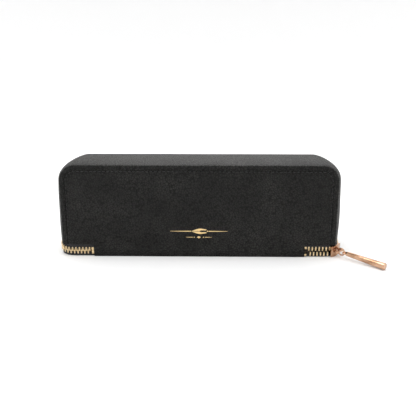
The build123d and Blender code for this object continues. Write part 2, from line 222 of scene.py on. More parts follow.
def panel_blank(bottom, tread):
    """A flat panel of hide: rounded top corners, a turned edge, and a groove along the border.

    tread lists (how far in, how deep) steps from the edge to the field.
    """
    bm = bmesh.new()
    corners = [(-edge_x, bottom), (edge_x, bottom), (edge_x, edge_top), (-edge_x, edge_top)]
    verts = [bm.verts.new((x, front_y, z)) for x, z in corners]
    bm.faces.new(verts)
    bmesh.ops.bevel(
        bm, geom=verts[2:], offset=CORNER_RADIUS, segments=12, profile=0.5,
        affect="VERTICES", material=-1,
    )
    bm.normal_update()
    face = bm.faces[:][0]
    for width, depth in tread:
        bmesh.ops.inset_region(
            bm, faces=[face], thickness=width, depth=depth, use_boundary=True, use_even_offset=True,
        )
    return bm


# from the turned edge inwards: rounded edge, flat border, groove, field
TREAD = (
    (0.12 * mm, 0.45 * mm), (0.2 * mm, 0.28 * mm), (0.5 * mm, 0.16 * mm), (1.2 * mm, 0.06 * mm),
    (1.1 * mm, -0.1 * mm), (0.4 * mm, -0.2 * mm), (0.15 * mm, -0.5 * mm), (0.4 * mm, -0.06 * mm),
    (0.5 * mm, 0.16 * mm), (0.5 * mm, 0.24 * mm), (0.5 * mm, 0.18 * mm), (0.8 * mm, 0.1 * mm),
    (1.6 * mm, 0.06 * mm),
)
EDGE_DROP = sum(depth for _, depth in TREAD[:4])


def settle_border(bm):
    """Sets the raised border of a panel flush with the case's front face."""
    bmesh.ops.translate(bm, vec=(0, EDGE_DROP, 0), verts=bm.verts[:])


front = panel_blank(bottom=BLANK_BOTTOM, tread=TREAD)
settle_border(front)
flat_bottom = WRAP_RADIUS - (math.pi / 2 * WRAP_RADIUS + (UNDERSIDE_Y - front_y) - WRAP_RADIUS)
bmesh.ops.bisect_plane(
    front, geom=front.verts[:] + front.edges[:] + front.faces[:], dist=1e-7,
    plane_co=(0, 0, flat_bottom), plane_no=(0, 0, -1), clear_outer=True,
)
levels = steps(flat_bottom, FOLD_TOP, FOLD_STEP) + [lid_edge] + steps(FOLD_TOP, edge_top, FIELD_STEP)
cut_lines(front, levels, (0, 0, 1))
left_of_notch = steps(-edge_x, -notch_x, FIELD_STEP) + [-notch_x]
between_notches = steps(-notch_x, notch_x, FIELD_STEP_ACROSS) + [notch_x]
cut_lines(front, left_of_notch + between_notches + steps(notch_x, edge_x, FIELD_STEP), (1, 0, 0))
notches = [
    face for face in front.faces
    if abs(face.calc_center_median().x) > notch_x and face.calc_center_median().z < lid_edge
]
bmesh.ops.delete(front, geom=notches, context="FACES")


def crown(x, z, bottom, top):
    """How far a filled panel swells at a point: nothing at its edges, most in its middle."""
    across = max(0.0, 1 - (x / edge_x) ** 2)
    up = max(0.0, 1 - ((z - (bottom + top) / 2) / ((top - bottom) / 2)) ** 2)
    return (across * up) ** 0.5


for vert in front.verts:
    x, y, z = vert.co
    y -= PANEL_SWELL * crown(x, z, hinge.z, edge_top)
    fold = math.exp(-(((z - hinge.z) / (FOLD_ABOVE if z > hinge.z else FOLD_BELOW)) ** 2))
    crease = math.exp(-(((z - hinge.z - CREASE_RISE) / CREASE_WIDTH) ** 2))
    y += CREASE_DEPTH * crease - FOLD_BULGE * fold
    if z < WRAP_RADIUS:
        along = WRAP_RADIUS - z
        turn = min(along / WRAP_RADIUS, math.pi / 2)
        straight = max(0.0, along - WRAP_RADIUS * math.pi / 2)
        depth = y - front_y
        y = front_y + WRAP_RADIUS - (WRAP_RADIUS - depth) * math.cos(turn) + straight
        z = WRAP_RADIUS - (WRAP_RADIUS - depth) * math.sin(turn)
    vert.co = (x, y, z)
bmesh.ops.recalc_face_normals(front, faces=front.faces[:])
if sum(face.normal.y for face in front.faces) > 0:
    bmesh.ops.reverse_faces(front, faces=front.faces[:])
bmesh.ops.solidify(front, geom=front.faces[:], thickness=LEATHER)
front_leather = new_piece("front_leather", front, black_hide)
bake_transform(front_leather)
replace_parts(front_leather, "front_panel", "front_border", "hinge_leather")


# ---- Gusset: one long strip of hide round the left, the top and the right, sewn to both panels.
# It stands fuller at mid depth, more so near the zip where the stiffener lets go.

TOP_FULLNESS = 1.5 * mm
GUSSET_LAP = 0.35 * mm
LID_OVER_ZIP = 4.75 * mm          # from the middle of the zip up to the lid's lower edge
SEAM_SHARPNESS = 32
FINE_WAVE, LONG_WAVE = 0.2 * mm, 0.14 * mm

gusset_low, gusset_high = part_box("gusset")
side_bow = gusset_high.x - edge_x
top_bow = gusset_high.z - edge_top + TOP_FULLNESS
gusset_front = gusset_low.y - GUSSET_LAP
gusset_back = gusset_high.y + GUSSET_LAP
half_depth = -front_y


def parting_z(y, offset):
    """The height of a line over or under the zip at one depth."""
    return hinge.z + (y - hinge.y) * math.tan(tilt) + offset / math.cos(tilt)


def arch_length(half, top, radius, low):
    """The length of an arch with two straight sides and two rounded shoulders."""
    return 2 * (top - radius - low) + math.pi * radius + 2 * (half - radius)


def arch_point(half, top, radius, low, walked):
    """The x, the z and the slope of an arch at a distance from its lower left end."""
    side, arc, across = top - radius - low, radius * math.pi / 2, 2 * (half - radius)
    if walked <= side:
        return -half, low + walked, math.pi / 2
    walked -= side
    if walked <= arc:
        angle = math.pi - walked / radius
        x, z = radius * math.cos(angle), radius * math.sin(angle)
        return -half + radius + x, top - radius + z, angle - math.pi / 2
    walked -= arc
    if walked <= across:
        return -half + radius + walked, top, 0.0
    walked -= across
    if walked <= arc:
        angle = math.pi / 2 - walked / radius
        x, z = radius * math.cos(angle), radius * math.sin(angle)
        return half - radius + x, top - radius + z, angle - math.pi / 2
    return half, top - radius - (walked - arc), -math.pi / 2


def round_the_lid(share, y, out):
    """A point on the lid's outline at one depth, share 0 at lower left to 1 at lower right."""
    fullness = 1 - (y / half_depth) ** 2
    half = edge_x + out
    low = parting_z(y, LID_OVER_ZIP)
    arch = (half, edge_top + top_bow * fullness + out, CORNER_RADIUS + out, low)
    x, z, _ = arch_point(*arch, share * arch_length(*arch))
    rise = min(1.0, max(0.0, (z - low) / (edge_top - low)))
    filled = 1 - 0.4 * rise ** 2 + 0.25 * math.sin(math.pi * rise)
    swell = side_bow * fullness * filled * min(1.0, abs(x) / half) ** 6
    return Vector((x + math.copysign(swell, x), y, z))


def gusset_layer(inset, thickness, front_end, back_end, tuck=0.0):
    """One sheet of the gusset, so far inside its outline, from the front panel to the back one."""
    bm = bmesh.new()
    bmesh.ops.create_grid(bm, x_segments=150, y_segments=20, size=0.5)
    for vert in bm.verts:
        share, depth = vert.co.x + 0.5, vert.co.y + 0.5
        y = front_end + depth * (back_end - front_end)
        near_seam = math.exp(-min(depth, 1 - depth) * SEAM_SHARPNESS)
        waves = FINE_WAVE * math.sin(share * 61) * math.sin(depth * 3.1)
        waves += LONG_WAVE * math.sin(share * 23 + 2)
        vert.co = round_the_lid(share, y, waves * (1 - near_seam) - tuck * near_seam - inset)
    bmesh.ops.recalc_face_normals(bm, faces=bm.faces[:])
    if sum(face.normal.z for face in bm.faces) < 0:
        bmesh.ops.reverse_faces(bm, faces=bm.faces[:])
    bmesh.ops.solidify(bm, geom=bm.faces[:], thickness=thickness)
    return bm


gusset = gusset_layer(0, LEATHER, gusset_front, gusset_back, tuck=0.5 * mm)
# The gusset's hide is painted lighter in its dark tones and warmer than the front's, as painted light for the
# light that falls on the top and sides.
gusset_hide_painted_light = leather_finish(
    "gusset_hide_painted_light", (0.0020, 0.0018, 0.0015, 1), (0.036, 0.033, 0.0275, 1), 660.0,
)
gusset_leather = new_piece("gusset_leather", gusset, gusset_hide_painted_light)
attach(gusset_leather, "lid")
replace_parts(gusset_leather, "gusset")


# ---- Back panel: made as the front is, and it ends over the zip on the lid's lower edge.

back_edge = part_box("back_border")[0].z
back = panel_blank(bottom=BLANK_BOTTOM, tread=TREAD)
settle_border(back)
bmesh.ops.bisect_plane(
    back, geom=back.verts[:] + back.edges[:] + back.faces[:], dist=1e-7,
    plane_co=(0, 0, back_edge), plane_no=(0, 0, -1), clear_outer=True,
)
cut_lines(back, steps(back_edge, edge_top, FIELD_STEP), (0, 0, 1))
cut_lines(back, steps(-edge_x, edge_x, FIELD_STEP_ACROSS), (1, 0, 0))
for vert in back.verts:
    x, y, z = vert.co
    vert.co = (x, -(y - PANEL_SWELL * crown(x, z, back_edge, edge_top)), z)
bmesh.ops.recalc_face_normals(back, faces=back.faces[:])
if sum(face.normal.y for face in back.faces) < 0:
    bmesh.ops.reverse_faces(back, faces=back.faces[:])
bmesh.ops.solidify(back, geom=back.faces[:], thickness=LEATHER)
back_leather = new_piece("back_leather", back, black_hide)
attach(back_leather, "lid")
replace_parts(back_leather, "back_panel", "back_border")


# ---- Seams: waxed black thread in the groove of each panel, one stitch after another.
# Each stitch is a short bead of thread that dips into its hole at both ends.

STITCH_PITCH = 3.1 * mm
STITCH_LENGTH = 2.45 * mm
STITCH_RADIUS = 0.24 * mm
THREAD_IN = 0.34 * mm
STITCH_LEAN = math.radians(4)
SEAM_START = 1 * mm

thread = Finish("waxed_thread", {"Roughness": 0.5, "Specular IOR Level": 0.35})
strands = {"Vector": thread.place, "Scale": 700.0}
twist = thread.node("TexWave", {"bands_direction": "DIAGONAL"}, strands, "Fac")
thread.feed("Base Color", thread.colours(twist, (0.012, 0.012, 0.012, 1), (0.05, 0.05, 0.05, 1)))
thread.feed("Normal", thread.bump(twist, 0.05 * mm))


def seam_places(inset, low):
    """Where the stitches of a panel lie: up the left, over the top and down the right."""
    arch = (edge_x - inset, edge_top - inset, CORNER_RADIUS - inset, low)
    total = arch_length(*arch)
    count = int(total / STITCH_PITCH)
    for index in range(count):
        yield arch_point(*arch, (index + 0.5) * total / count)


def seam(name, low, outward):
    """The stitches of one panel; outward is -1 for the front and 1 for the back."""
    bm = bmesh.new()
    for x, z, angle in seam_places(SEAM_IN, low):
        made = bmesh.ops.create_uvsphere(bm, u_segments=6, v_segments=6, radius=1.0)
        shape = Matrix.Diagonal((STITCH_RADIUS, STITCH_RADIUS, STITCH_LENGTH / 2, 1))
        lean = Matrix.Rotation(math.pi / 2 - angle, 4, "Y") @ Matrix.Rotation(STITCH_LEAN, 4, "X")
        y = outward * (half_depth - THREAD_IN)
        place = Matrix.Translation((x, y, z)) @ lean @ shape
        bmesh.ops.transform(bm, matrix=place, verts=made["verts"])
    piece = new_piece(name, bm, thread.material, smooth_angle=80)
    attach(piece, "lid")
    return piece


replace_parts(seam("front_stitches", lid_edge + SEAM_START, -1), "front_seam_thread")
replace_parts(seam("back_stitches", back_edge + SEAM_START, 1), "back_seam_thread")


# ---- Foil mark: a pen nib between two rules over a small broken rule, in gold foil on the front.
# It follows the swell of the panel, as one thin sheet.

foil = Finish("gold_foil", {"Metallic": 1.0})
wear = foil.node("TexNoise", None, {"Vector": foil.place, "Scale": 900.0, "Detail": 3.0}, "Fac")
foil.feed("Base Color", foil.colours(wear, (0.62, 0.42, 0.17, 1), (0.95, 0.74, 0.42, 1)))
foil.feed("Roughness", 0.28 + wear * 0.25)
foil.feed("Normal", foil.bump(wear, 0.02 * mm))

mark_low, mark_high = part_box("foil_mark")
mark_z = (mark_low.z + mark_high.z) / 2
mark_half = mark_high.x
RULE = 0.7 * mm
NIB_HALF = 5.6 * mm
NIB_WIDTH = 4.2 * mm
SMALL_RULE_DROP = 4.6 * mm
MARK_RISE = 1.2 * mm
FOIL_THICKNESS = 0.12 * mm
FOIL_OUT = 0.06 * mm
NIB_START = 0.25 * mm
lie_on_front = Matrix.Rotation(math.pi / 2, 4, "X")


def foil_shape(bm, outline):
    """A flat closed shape of foil on the front face, given as points in x and z."""
    verts = [bm.verts.new((x, 0, z)) for x, z in outline]
    return bm.faces.new(verts)


mark = bmesh.new()
for side in (-1, 1):
    inner, outer = NIB_HALF + 1.6 * mm, mark_half
    corners = [(inner, -RULE / 2), (outer, -RULE * 0.15), (outer, RULE * 0.15), (inner, RULE / 2)]
    foil_shape(mark, [(side * x, z) for x, z in corners])
    bmesh.ops.create_circle(
        mark, cap_ends=True, segments=16, radius=0.5 * mm,
        matrix=Matrix.Translation((side * (NIB_HALF + 0.8 * mm), 0, 0)) @ lie_on_front,
    )
    shoulder = [(-NIB_HALF, side * 0.18 * mm)]
    for index in range(9):
        share = index / 8
        x = -NIB_HALF + share * 2 * NIB_HALF * 0.62
        swell = math.sin(share * math.pi / 2) ** 1.4
        shoulder.append((x, side * (NIB_START + (NIB_WIDTH / 2 - NIB_START) * swell)))
    shoulder += [(NIB_HALF * 0.86, side * NIB_WIDTH * 0.36), (NIB_HALF, side * NIB_WIDTH * 0.34)]
    shoulder += [(NIB_HALF, side * 0.75 * mm), (1.5 * mm, side * 0.75 * mm), (0.6 * mm, side * 0.2 * mm)]
    foil_shape(mark, shoulder)
    bmesh.ops.create_circle(
        mark, cap_ends=True, segments=12, radius=0.42 * mm,
        matrix=Matrix.Translation((side * 3.4 * mm, 0, -SMALL_RULE_DROP)) @ lie_on_front,
    )
    inner, outer = 4.6 * mm, 9.5 * mm
    corners = [(inner, -RULE / 3), (outer, -RULE / 8), (outer, RULE / 8), (inner, RULE / 3)]
    foil_shape(mark, [(side * x, z - SMALL_RULE_DROP) for x, z in corners])
diamond = [(0, -0.9 * mm), (1.5 * mm, 0), (0, 0.9 * mm), (-1.5 * mm, 0)]
foil_shape(mark, [(x, z - SMALL_RULE_DROP) for x, z in diamond])
bmesh.ops.recalc_face_normals(mark, faces=mark.faces[:])
for face in mark.faces:
    if face.normal.y > 0:
        face.normal_flip()
bmesh.ops.translate(mark, vec=(0, 0, mark_z + MARK_RISE), verts=mark.verts[:])
for vert in mark.verts:
    swell = PANEL_SWELL * crown(vert.co.x, vert.co.z, hinge.z, edge_top)
    vert.co.y = front_y - swell - FOIL_OUT
bmesh.ops.solidify(mark, geom=mark.faces[:], thickness=FOIL_THICKNESS)
foil_mark = new_piece("foil_mark_nib", mark, foil.material)
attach(foil_mark, "lid")
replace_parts(foil_mark, "foil_mark")


# ---- Tray: a shallow dish of the same hide over a board, below the zip at the sides and the back.
# Its sides lean in to a flat floor, and the hide turns over the board's edge in a small round.


def copy_of(*nodes):
    """One merged mesh of the CAD solids that a piece is made from, with its flat faces whole."""
    whole = bmesh.new()
    for node in nodes:
        part = bmesh.new()
        part.from_mesh(bpy.data.objects[node].data)
        bmesh.ops.remove_doubles(part, verts=part.verts[:], dist=0.001 * mm)
        bmesh.ops.dissolve_limit(
            part, angle_limit=math.radians(1), verts=part.verts[:], edges=part.edges[:],
            use_dissolve_boundaries=False,
        )
        merged = bpy.data.meshes.new("merged")
        part.to_mesh(merged)
        part.free()
        whole.from_mesh(merged)
        bpy.data.meshes.remove(merged)
    return whole


def round_edges(bm, width, segments, chosen=None):
    """Rounds the sharp edges of a mesh, or only the chosen ones."""
    edges = [
        edge for edge in bm.edges
        if edge.is_manifold and edge.calc_face_angle() > math.radians(30) and (chosen is None or chosen(edge))
    ]
    bmesh.ops.bevel(
        bm, geom=edges, offset=width, segments=segments, profile=0.5, affect="EDGES",
        material=-1, clamp_overlap=True,
    )


tray_floor = copy_of("tray_cover")
round_edges(
    tray_floor, 0.8 * mm, 3,
    lambda edge: max(vert.co.z for vert in edge.verts) < 0.01 * mm,
)
tray_leather = new_piece("tray_leather", tray_floor, black_hide)
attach(tray_leather, "tray")
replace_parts(tray_leather, "tray_cover")

tray_wall = copy_of("tray_rim")
round_edges(tray_wall, 0.3 * mm, 2, lambda edge: min(vert.co.z for vert in edge.verts) > 1.5 * mm)
rim_leather = new_piece("rim_leather", tray_wall, black_hide)
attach(rim_leather, "tray")
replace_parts(rim_leather, "tray_rim")


# ---- Zip tape: two bands of black ribbed tape sewn inside the edges of the lid and the tray.
# They lie flat round the case and come apart at both front corners. A web of tape behind the
# closed end of the zip fills the left front corner.

tape = Finish("zip_tape", {"Roughness": 0.85, "Specular IOR Level": 0.2, "Sheen Weight": 0.15})
rib = tape.node("TexWave", {"bands_direction": "Z"}, {"Vector": tape.place, "Scale": 520.0}, "Fac")
weft = tape.node("TexWave", {"bands_direction": "DIAGONAL"}, {"Vector": tape.place, "Scale": 460.0}, "Fac")
fuzz = tape.node("TexNoise", None, {"Vector": tape.place, "Scale": 3000.0, "Detail": 2.0}, "Fac")
weave = rib * 0.55 + weft * 0.3 + fuzz * 0.3
tape.feed("Base Color", tape.colours(weave, (0.006, 0.006, 0.006, 1), (0.04, 0.04, 0.042, 1)))
tape.feed("Normal", tape.bump(weave, 0.08 * mm))

zip_rows = {"upper": "lid", "lower": "tray"}
for row, body in zip_rows.items():
    nodes = [row + end for end in ("_tape", "_end_tape_left", "_end_tape_right", "_open_tape")]
    band = copy_of(*nodes)
    round_edges(band, 0.12 * mm, 1)
    zip_tape = new_piece(row + "_zip_tape", band, tape.material)
    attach(zip_tape, body)
    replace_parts(zip_tape, *nodes)

WEB_INNER = 7.5 * mm
WEB_OUTER = 10.7 * mm
WEB_LOW = 0.5 * mm
WEB_HIGH = 1.0 * mm

far_corner = Vector(joints["slider_travel"]["pos_m"]) * Vector((-1, 1, 1))
web_mesh = bmesh.new()
web_section = [
    web_mesh.verts.new((far_corner.x - radius, far_corner.y, height))
    for radius, height in (
        (WEB_INNER, WEB_LOW), (WEB_OUTER, WEB_LOW), (WEB_OUTER, WEB_HIGH), (WEB_INNER, WEB_HIGH),
    )
]
web_end = web_mesh.faces.new(web_section)
bmesh.ops.spin(
    web_mesh, geom=[web_end], cent=far_corner, axis=(0, 0, 1), dvec=(0, 0, 0), angle=math.pi / 2,
    steps=14, use_duplicate=False,
)
bmesh.ops.recalc_face_normals(web_mesh, faces=web_mesh.faces[:])
corner_web = new_piece("corner_web", web_mesh, tape.material)
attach(corner_web, "tray")


# ---- Zip teeth: cast teeth of pale gold metal, crimped over the edges of both tapes.
# The rows mesh in one chain round the case and stand apart between the slider and its stops.

teeth_metal = Finish("zip_gold", {"Metallic": 1.0})
cast = teeth_metal.node("TexNoise", None, {"Vector": teeth_metal.place, "Scale": 900.0, "Detail": 4.0}, "Fac")
tooth_gold = teeth_metal.colours(cast.between(0.3, 0.7), (0.66, 0.47, 0.24, 1), (0.93, 0.75, 0.48, 1))
teeth_metal.feed("Base Color", tooth_gold)
teeth_metal.feed("Roughness", 0.22 + cast * 0.2)
teeth_metal.feed("Normal", teeth_metal.bump(cast, 0.03 * mm))

for row, body in zip_rows.items():
    nodes = [row + end for end in ("_teeth", "_end_teeth_left", "_end_teeth_right", "_open_teeth")]
    chain = copy_of(*nodes)
    round_edges(chain, 0.13 * mm, 1)
    zip_teeth = new_piece(row + "_zip_teeth", chain, teeth_metal.material)
    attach(zip_teeth, body)
    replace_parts(zip_teeth, *nodes)

for stop, body in (("upper_top_stop", "lid"), ("lower_top_stop", "tray"), ("bottom_stop", "tray")):
    clasp = copy_of(stop)
    round_edges(clasp, 0.16 * mm, 2)
    zip_stop = new_piece(stop + "_clasp", clasp, teeth_metal.material)
    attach(zip_stop, body)
    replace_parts(zip_stop, stop)


# ---- Slider: a cast body of rose gold metal that bends with the corner of the case.
# It is broad at its nose, where the rows part, and narrower at its tail, with a bail on its outside.

ZIP_CORNER = 11 * mm
SLIDER_SWEEP = math.radians(24)
TAIL_TAPER = 0.2
PLATE_OUT = 2.6 * mm
PLATE_BORDER = 0.75 * mm
PLATE_RECESS = 0.14 * mm
NOSE_ROUND = 1.1 * mm
PLATE_HALF_HEIGHT = 4.2 * mm
BAIL_ROOT = 3.2 * mm
BAIL_SINK = 0.35 * mm

rose = Finish("rose_gold", {"Metallic": 1.0})
haze = rose.node("TexNoise", None, {"Vector": rose.place, "Scale": 160.0, "Detail": 4.0}, "Fac")
scratch = rose.node("TexNoise", None, {"Vector": rose.place, "Scale": 1800.0, "Detail": 2.0}, "Fac")
rose.feed("Base Color", rose.colours(haze.between(0.3, 0.7), (0.36, 0.20, 0.115, 1), (0.66, 0.42, 0.28, 1)))
rose.feed("Roughness", 0.12 + haze * 0.1 + scratch * 0.06)
rose.feed("Normal", rose.bump(scratch, 0.008 * mm, 0.5))

corner = Vector(joints["slider_travel"]["pos_m"])
bail = Vector(joints["ring_lift"]["pos_m"])
reach = bail - corner
outward = (reach - wall_up * reach.dot(wall_up)).normalized()
along_chain = wall_up.cross(outward)


def local_frame(origin, x_axis, y_axis, z_axis):
    """The matrix that takes a piece from its own axes to its place on the case."""
    turn = Matrix((x_axis, y_axis, z_axis)).transposed().to_4x4()
    return Matrix.Translation(origin) @ turn


slider_place = local_frame(corner + outward * ZIP_CORNER, outward, along_chain, wall_up)
body_mesh = copy_of("slider_body")
bmesh.ops.transform(body_mesh, matrix=slider_place.inverted(), verts=body_mesh.verts[:])


def sweep_of(vert):
    """How far round the corner a point of the slider lies, from -1 at its nose to 1 at its tail."""
    return math.atan2(vert.co.y, vert.co.x + ZIP_CORNER) / SLIDER_SWEEP


outer_plate = [
    face for face in body_mesh.faces
    if Vector((face.calc_center_median().x + ZIP_CORNER, face.calc_center_median().y)).length
    > ZIP_CORNER + PLATE_OUT and abs(face.normal.z) < 0.3
]
bmesh.ops.inset_region(
    body_mesh, faces=outer_plate, thickness=PLATE_BORDER, depth=-PLATE_RECESS, use_boundary=True,
    use_even_offset=True,
)
round_edges(
    body_mesh, NOSE_ROUND, 4,
    lambda edge: all(
        abs(sweep_of(vert)) > 0.97 and abs(vert.co.z) > PLATE_HALF_HEIGHT for vert in edge.verts
    )
    and abs((edge.verts[0].co - edge.verts[1].co).normalized().z) < 0.5
    and abs(sweep_of(edge.verts[0]) - sweep_of(edge.verts[1])) < 0.02,
)
round_edges(body_mesh, 0.2 * mm, 2)
for vert in body_mesh.verts:
    share = min(1.0, max(0.0, (sweep_of(vert) + 0.4) / 1.4))
    vert.co.z *= 1 - TAIL_TAPER * share * share * (3 - 2 * share)
bmesh.ops.transform(body_mesh, matrix=slider_place, verts=body_mesh.verts[:])
slider_casting = new_piece("slider_casting", body_mesh, rose.material, smooth_angle=35)
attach(slider_casting, "slider")
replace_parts(slider_casting, "slider_body")

bail_mesh = copy_of("slider_crown")
bmesh.ops.transform(bail_mesh, matrix=slider_place.inverted(), verts=bail_mesh.verts[:])
for vert in bail_mesh.verts:
    if vert.co.x < BAIL_ROOT:
        vert.co.x -= BAIL_SINK
bmesh.ops.transform(bail_mesh, matrix=slider_place, verts=bail_mesh.verts[:])
round_edges(bail_mesh, 0.3 * mm, 3)
slider_bail = new_piece("slider_bail", bail_mesh, rose.material, smooth_angle=35)
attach(slider_bail, "slider")
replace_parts(slider_bail, "slider_crown")


# ---- Pull: a wire ring in the slider's bail, and a polished tapering bar that hangs from it by an eye.
# The bar is turned from solid metal, thicker to its flat end, and rests on the desk.

RING_RADIUS = 2.6 * mm
RING_WIRE = 0.55 * mm
EYE_RADIUS = 1.25 * mm
EYE_WIRE = 0.55 * mm
BAR_LENGTH = 33 * mm
BAR_ROOT = 1.7 * mm
BAR_TIP = 2.5 * mm

wire = Vector(joints["bar_swing"]["pos_m"])
pull_up = Vector(joints["bar_swing"]["axis"])
pull_out = (wire - bail).normalized()
pull_place = local_frame(wire, pull_out, pull_up.cross(pull_out), pull_up)


def wire_ring(bm, radius, thickness, centre, axis):
    """A closed ring of round wire about an axis."""
    side = Vector((1, 0, 0))
    turn = Matrix((side, Vector(axis), side.cross(Vector(axis)))).transposed().to_4x4()
    place = Matrix.Translation(centre) @ turn @ Matrix.Translation((radius, 0, 0))
    profile = bmesh.ops.create_circle(bm, segments=14, radius=thickness, matrix=place)
    edges = list({edge for vert in profile["verts"] for edge in vert.link_edges})
    bmesh.ops.spin(
        bm, geom=profile["verts"] + edges, cent=centre, axis=axis, dvec=(0, 0, 0), angle=2 * math.pi,
        steps=44, use_merge=True,
    )


ring_mesh = bmesh.new()
wire_ring(ring_mesh, RING_RADIUS, RING_WIRE, (-RING_RADIUS, 0, 0), (0, 1, 0))
bmesh.ops.recalc_face_normals(ring_mesh, faces=ring_mesh.faces[:])
bmesh.ops.transform(ring_mesh, matrix=pull_place, verts=ring_mesh.verts[:])
ring_wire = new_piece("ring_wire", ring_mesh, rose.material)
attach(ring_wire, "ring")
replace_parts(ring_wire, "pull_ring")

bar_mesh = bmesh.new()
turned = [
    (0.75 * mm, 0), (0.78 * mm, 0.7 * mm), (1.3 * mm, 1.25 * mm), (2.2 * mm, 1.6 * mm),
    (3.2 * mm, BAR_ROOT),
    (BAR_LENGTH - 0.45 * mm, BAR_TIP), (BAR_LENGTH - 0.12 * mm, BAR_TIP - 0.12 * mm),
    (BAR_LENGTH, BAR_TIP - 0.42 * mm), (BAR_LENGTH, 0),
]
outline = [bar_mesh.verts.new((x, radius, 0)) for x, radius in turned]
outline_edges = [bar_mesh.edges.new(pair) for pair in zip(outline, outline[1:])]
bmesh.ops.spin(
    bar_mesh, geom=outline + outline_edges, cent=(0, 0, 0), axis=(1, 0, 0), dvec=(0, 0, 0),
    angle=2 * math.pi, steps=40, use_merge=True,
)
bmesh.ops.remove_doubles(bar_mesh, verts=bar_mesh.verts[:], dist=0.001 * mm)
wire_ring(bar_mesh, EYE_RADIUS, EYE_WIRE, (0, 0, 0), (0, 0, 1))
bmesh.ops.recalc_face_normals(bar_mesh, faces=bar_mesh.faces[:])
bmesh.ops.transform(bar_mesh, matrix=pull_place, verts=bar_mesh.verts[:])
bar_rod = new_piece("bar_rod", bar_mesh, rose.material, smooth_angle=30)
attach(bar_rod, "bar")
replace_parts(bar_rod, "pull_bar")


# ---- Boards: stiff pulp board between the hide and the lining. It shows only as a thin edge
# inside the open lid. The flat boards keep their CAD shape, and the gusset's follows its hide.

BOARD_IN = 1.25 * mm
BOARD_THICKNESS = 1.15 * mm

board = Finish("pulp_board", {"Roughness": 0.9, "Specular IOR Level": 0.2})
pulp = board.node("TexNoise", None, {"Vector": board.place, "Scale": 800.0, "Detail": 5.0}, "Fac")
board.feed("Base Color", board.colours(pulp, (0.05, 0.042, 0.034, 1), (0.14, 0.12, 0.1, 1)))
board.feed("Normal", board.bump(pulp, 0.05 * mm))
for node in ("tray_board", "front_board", "back_board"):
    bpy.data.objects[node].data.materials.clear()
    bpy.data.objects[node].data.materials.append(board.material)

board_low, board_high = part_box("gusset_board")
bent_board = gusset_layer(BOARD_IN, BOARD_THICKNESS, board_low.y, board_high.y)
gusset_stiffener = new_piece("gusset_stiffener", bent_board, board.material)
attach(gusset_stiffener, "lid")
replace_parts(gusset_stiffener, "gusset_board")


# ---- Lining: thin brown-grey suede glued over the boards, inside the lid and the tray.
# Its cut edges are rubbed round, and its nap lies in soft patches.

SUEDE_IN = 2.5 * mm
SUEDE_THICKNESS = 0.6 * mm
SUEDE_ROUND = 0.15 * mm

suede = Finish("suede", {"Roughness": 0.95, "Specular IOR Level": 0.1, "Sheen Weight": 0.4})
nap = suede.node("TexNoise", None, {"Vector": suede.place, "Scale": 38.0, "Detail": 3.0}, "Fac")
fibre = suede.node("TexNoise", None, {"Vector": suede.place, "Scale": 2600.0, "Detail": 3.0}, "Fac")
brushed = nap.between(0.35, 0.7) * 0.45 + fibre * 0.55
suede.feed("Base Color", suede.colours(brushed, (0.075, 0.06, 0.048, 1), (0.20, 0.165, 0.135, 1)))
suede.feed("Normal", suede.bump(fibre, 0.12 * mm, 0.6))

for name, body, node in (
    ("front_suede", "lid", "front_lining"),
    ("back_suede", "lid", "back_lining"),
    ("tray_suede", "tray", "tray_lining"),
    ("rim_suede", "tray", "rim_lining"),
):
    sheet_mesh = copy_of(node)
    round_edges(sheet_mesh, SUEDE_ROUND, 1)
    if body == "lid":
        low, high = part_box(node)
        for vert in sheet_mesh.verts:
            vert.co.z += LID_FULLNESS * (vert.co.z - low.z) / (high.z - low.z)
    lining = new_piece(name, sheet_mesh, suede.material)
    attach(lining, body)
    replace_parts(lining, node)

suede_low, suede_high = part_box("gusset_lining")
bent_suede = gusset_layer(SUEDE_IN, SUEDE_THICKNESS, suede_low.y, suede_high.y)
gusset_suede = new_piece("gusset_suede", bent_suede, suede.material)
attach(gusset_suede, "lid")
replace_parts(gusset_suede, "gusset_lining")

fold_mesh = copy_of("hinge_lining")
round_edges(fold_mesh, SUEDE_ROUND, 1)
fold_low, fold_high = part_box("hinge_lining")
cut_lines(fold_mesh, steps(fold_low.z, fold_high.z, 0.5 * mm), (0, 0, 1))
cut_lines(fold_mesh, steps(fold_low.x, fold_high.x, 8 * mm), (1, 0, 0))
fold_suede = new_piece("fold_suede", fold_mesh, suede.material)
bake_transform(fold_suede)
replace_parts(fold_suede, "hinge_lining")


# ---- Pen bed: a soft pad under suede, with a sewn channel between each pen and the next.
# It fills the middle of the tray and swells between its seams.

LANE_PITCH = 13.3 * mm
PAD_PULL = 2.0 * mm
VOXEL = 1.3 * mm
PRESSURE = 4
CLOTH_FRAMES = 20
SWELL_LIMIT = 1.0 * mm
CHANNEL_WIDTH = 1.1 * mm
CHANNEL_FADE = 6 * mm
STITCH_DIMPLES = 4 * mm

pad_low, pad_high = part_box("pen_pad")
pad_half = (pad_high - pad_low) / 2
pad_middle = (pad_high + pad_low) / 2
bed = copy_of("pen_pad")
bmesh.ops.translate(bed, vec=-pad_middle, verts=bed.verts[:])
bmesh.ops.scale(bed, vec=(0.985, 0.95, 0.8), verts=bed.verts[:])
bmesh.ops.translate(bed, vec=pad_middle, verts=bed.verts[:])
pen_bed = new_piece("pen_bed", bed, suede.material)
bpy.context.view_layer.objects.active = pen_bed
blocks = pen_bed.modifiers.new("blocks", "REMESH")
blocks.mode = "VOXEL"
blocks.voxel_size = VOXEL
bpy.ops.object.modifier_apply(modifier=blocks.name)
before = [vert.co.copy() for vert in pen_bed.data.vertices]
swelling = pen_bed.modifiers.new("swelling", "CLOTH")
swelling.settings.use_pressure = True
swelling.settings.uniform_pressure_force = PRESSURE
swelling.settings.effector_weights.gravity = 0
for frame_number in range(1, CLOTH_FRAMES + 1):
    bpy.context.scene.frame_set(frame_number)
swollen = pen_bed.evaluated_get(bpy.context.evaluated_depsgraph_get()).to_mesh()
after = [vert.co.copy() for vert in swollen.vertices]
